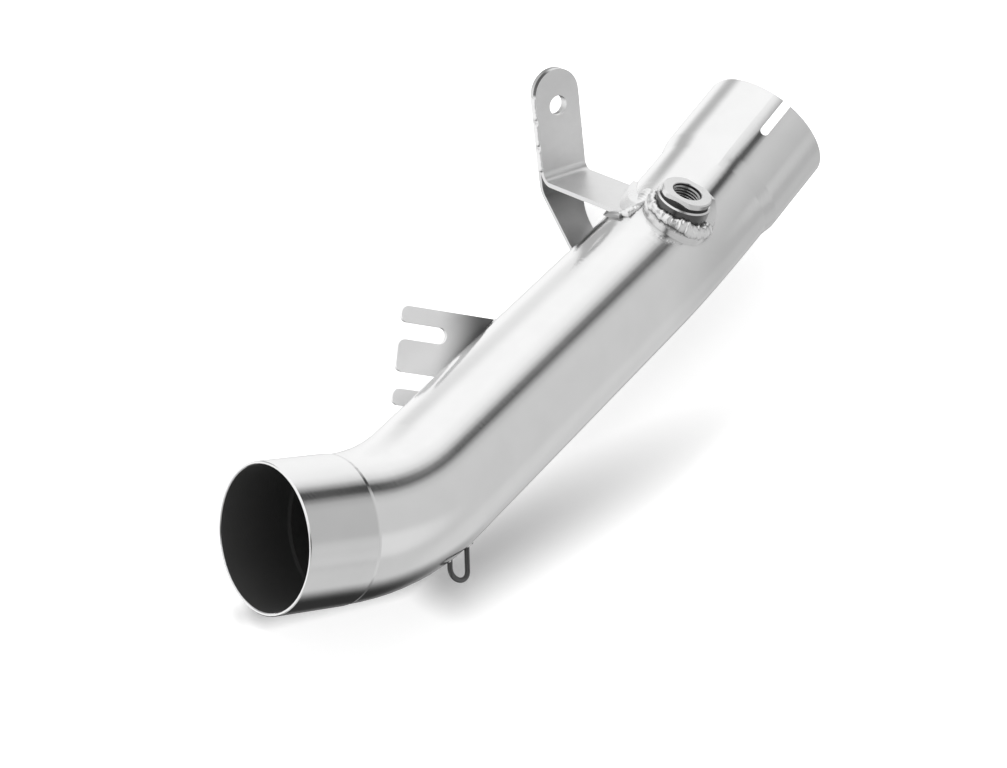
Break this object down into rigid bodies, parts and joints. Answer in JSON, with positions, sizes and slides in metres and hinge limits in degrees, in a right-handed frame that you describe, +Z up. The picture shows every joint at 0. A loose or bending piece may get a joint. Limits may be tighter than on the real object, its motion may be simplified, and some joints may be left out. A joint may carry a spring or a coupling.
{
  "type": "motorcycle decat pipe",
  "caption": "Bent steel link pipe for a motorcycle exhaust, with a slotted socket, a sensor port, a hanger strip, a forked bracket and a spring hook.",
  "frame": {"origin": "middle of the bounding box on the plane that the pipe lies on", "axes": "+Z up as the pipe lies on the bend and the hanger's brace, sensor port up; +X along the pipe from the inlet to the outlet"},
  "size_m": [0.3452, 0.1362, 0.0797],
  "materials": {
    "tube_steel": "satin",
    "turned_steel": "turned",
    "washer_steel": "dull",
    "strip_steel": "satin",
    "wire_steel": "drawn",
    "weld_bead": "as welded"
  },
  "bodies": {
    "root": {"pipe_tube": "tube_steel", "sensor_boss": "turned_steel", "boss_weld": "weld_bead", "sensor_adapter": "turned_steel", "adapter_washer": "washer_steel", "hanger_strip": "strip_steel", "hanger_brace": "strip_steel", "tab_tacks_left": "weld_bead", "tab_tacks_right": "weld_bead", "shelf_weld": "weld_bead", "brace_weld": "weld_bead", "fork_bracket": "strip_steel", "fork_weld": "weld_bead", "spring_hook": "wire_steel", "hook_weld_front": "weld_bead", "hook_weld_rear": "weld_bead"}
  },
  "joints": []
}
